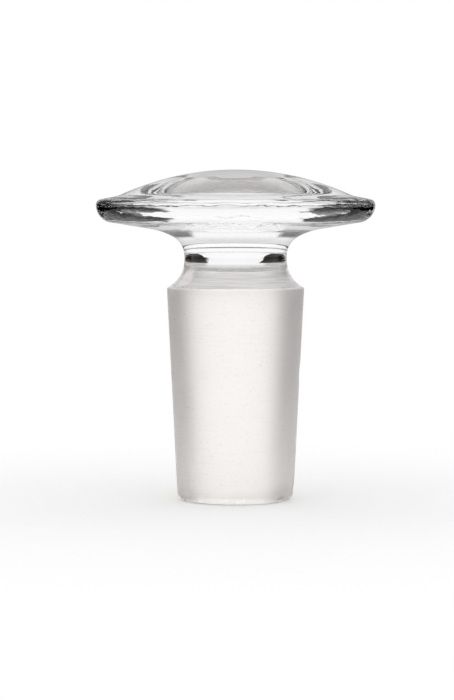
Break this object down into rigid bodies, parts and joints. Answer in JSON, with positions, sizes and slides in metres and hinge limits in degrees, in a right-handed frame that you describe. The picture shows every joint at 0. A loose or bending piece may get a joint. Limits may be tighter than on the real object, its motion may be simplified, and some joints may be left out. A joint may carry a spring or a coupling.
{
  "type": "glass stopper",
  "caption": "Solid clear-glass stopper with a domed disc head, a waisted neck and a frosted tapered ground joint that seals a matching glass socket.",
  "frame": {"origin": "middle of the flat end of the ground joint, which the stopper stands on", "axes": "+Z along the axis of the stopper, from the flat end to the top of the domed head"},
  "size_m": [0.0294, 0.0294, 0.0348],
  "materials": {
    "glass": "fire-polished clear head and neck, fine-ground frosted joint"
  },
  "bodies": {
    "root": {"stopper": "glass"}
  },
  "joints": []
}
